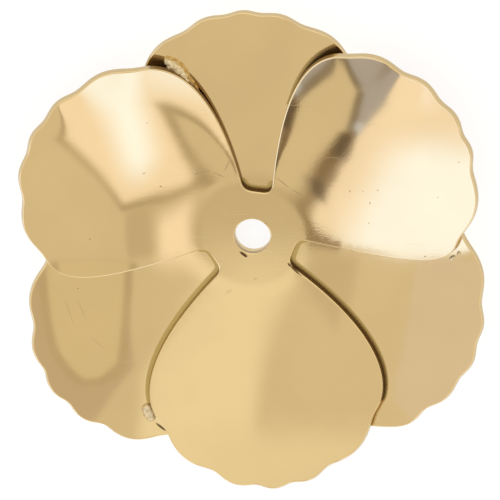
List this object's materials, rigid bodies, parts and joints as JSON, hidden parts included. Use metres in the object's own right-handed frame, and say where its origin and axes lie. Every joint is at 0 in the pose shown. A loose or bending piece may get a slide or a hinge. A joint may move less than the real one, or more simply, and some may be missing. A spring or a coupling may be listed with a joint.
{
  "type": "flower charm",
  "caption": "Round open flower charm of two stacked stampings with cupped scalloped petals and a centre hole for a wire, pin or rivet.",
  "frame": {"origin": "centre of the hole, on the back face of the back stamping", "axes": "+Z along the hole towards the viewer, +Y towards the tip of the top petal, which is a back one"},
  "size_m": [0.0258, 0.0274, 0.0033],
  "materials": {
    "brass": "polished",
    "pale_brass": "polished"
  },
  "bodies": {
    "root": {"back_petals": "brass", "front_petals": "pale_brass"}
  },
  "joints": []
}
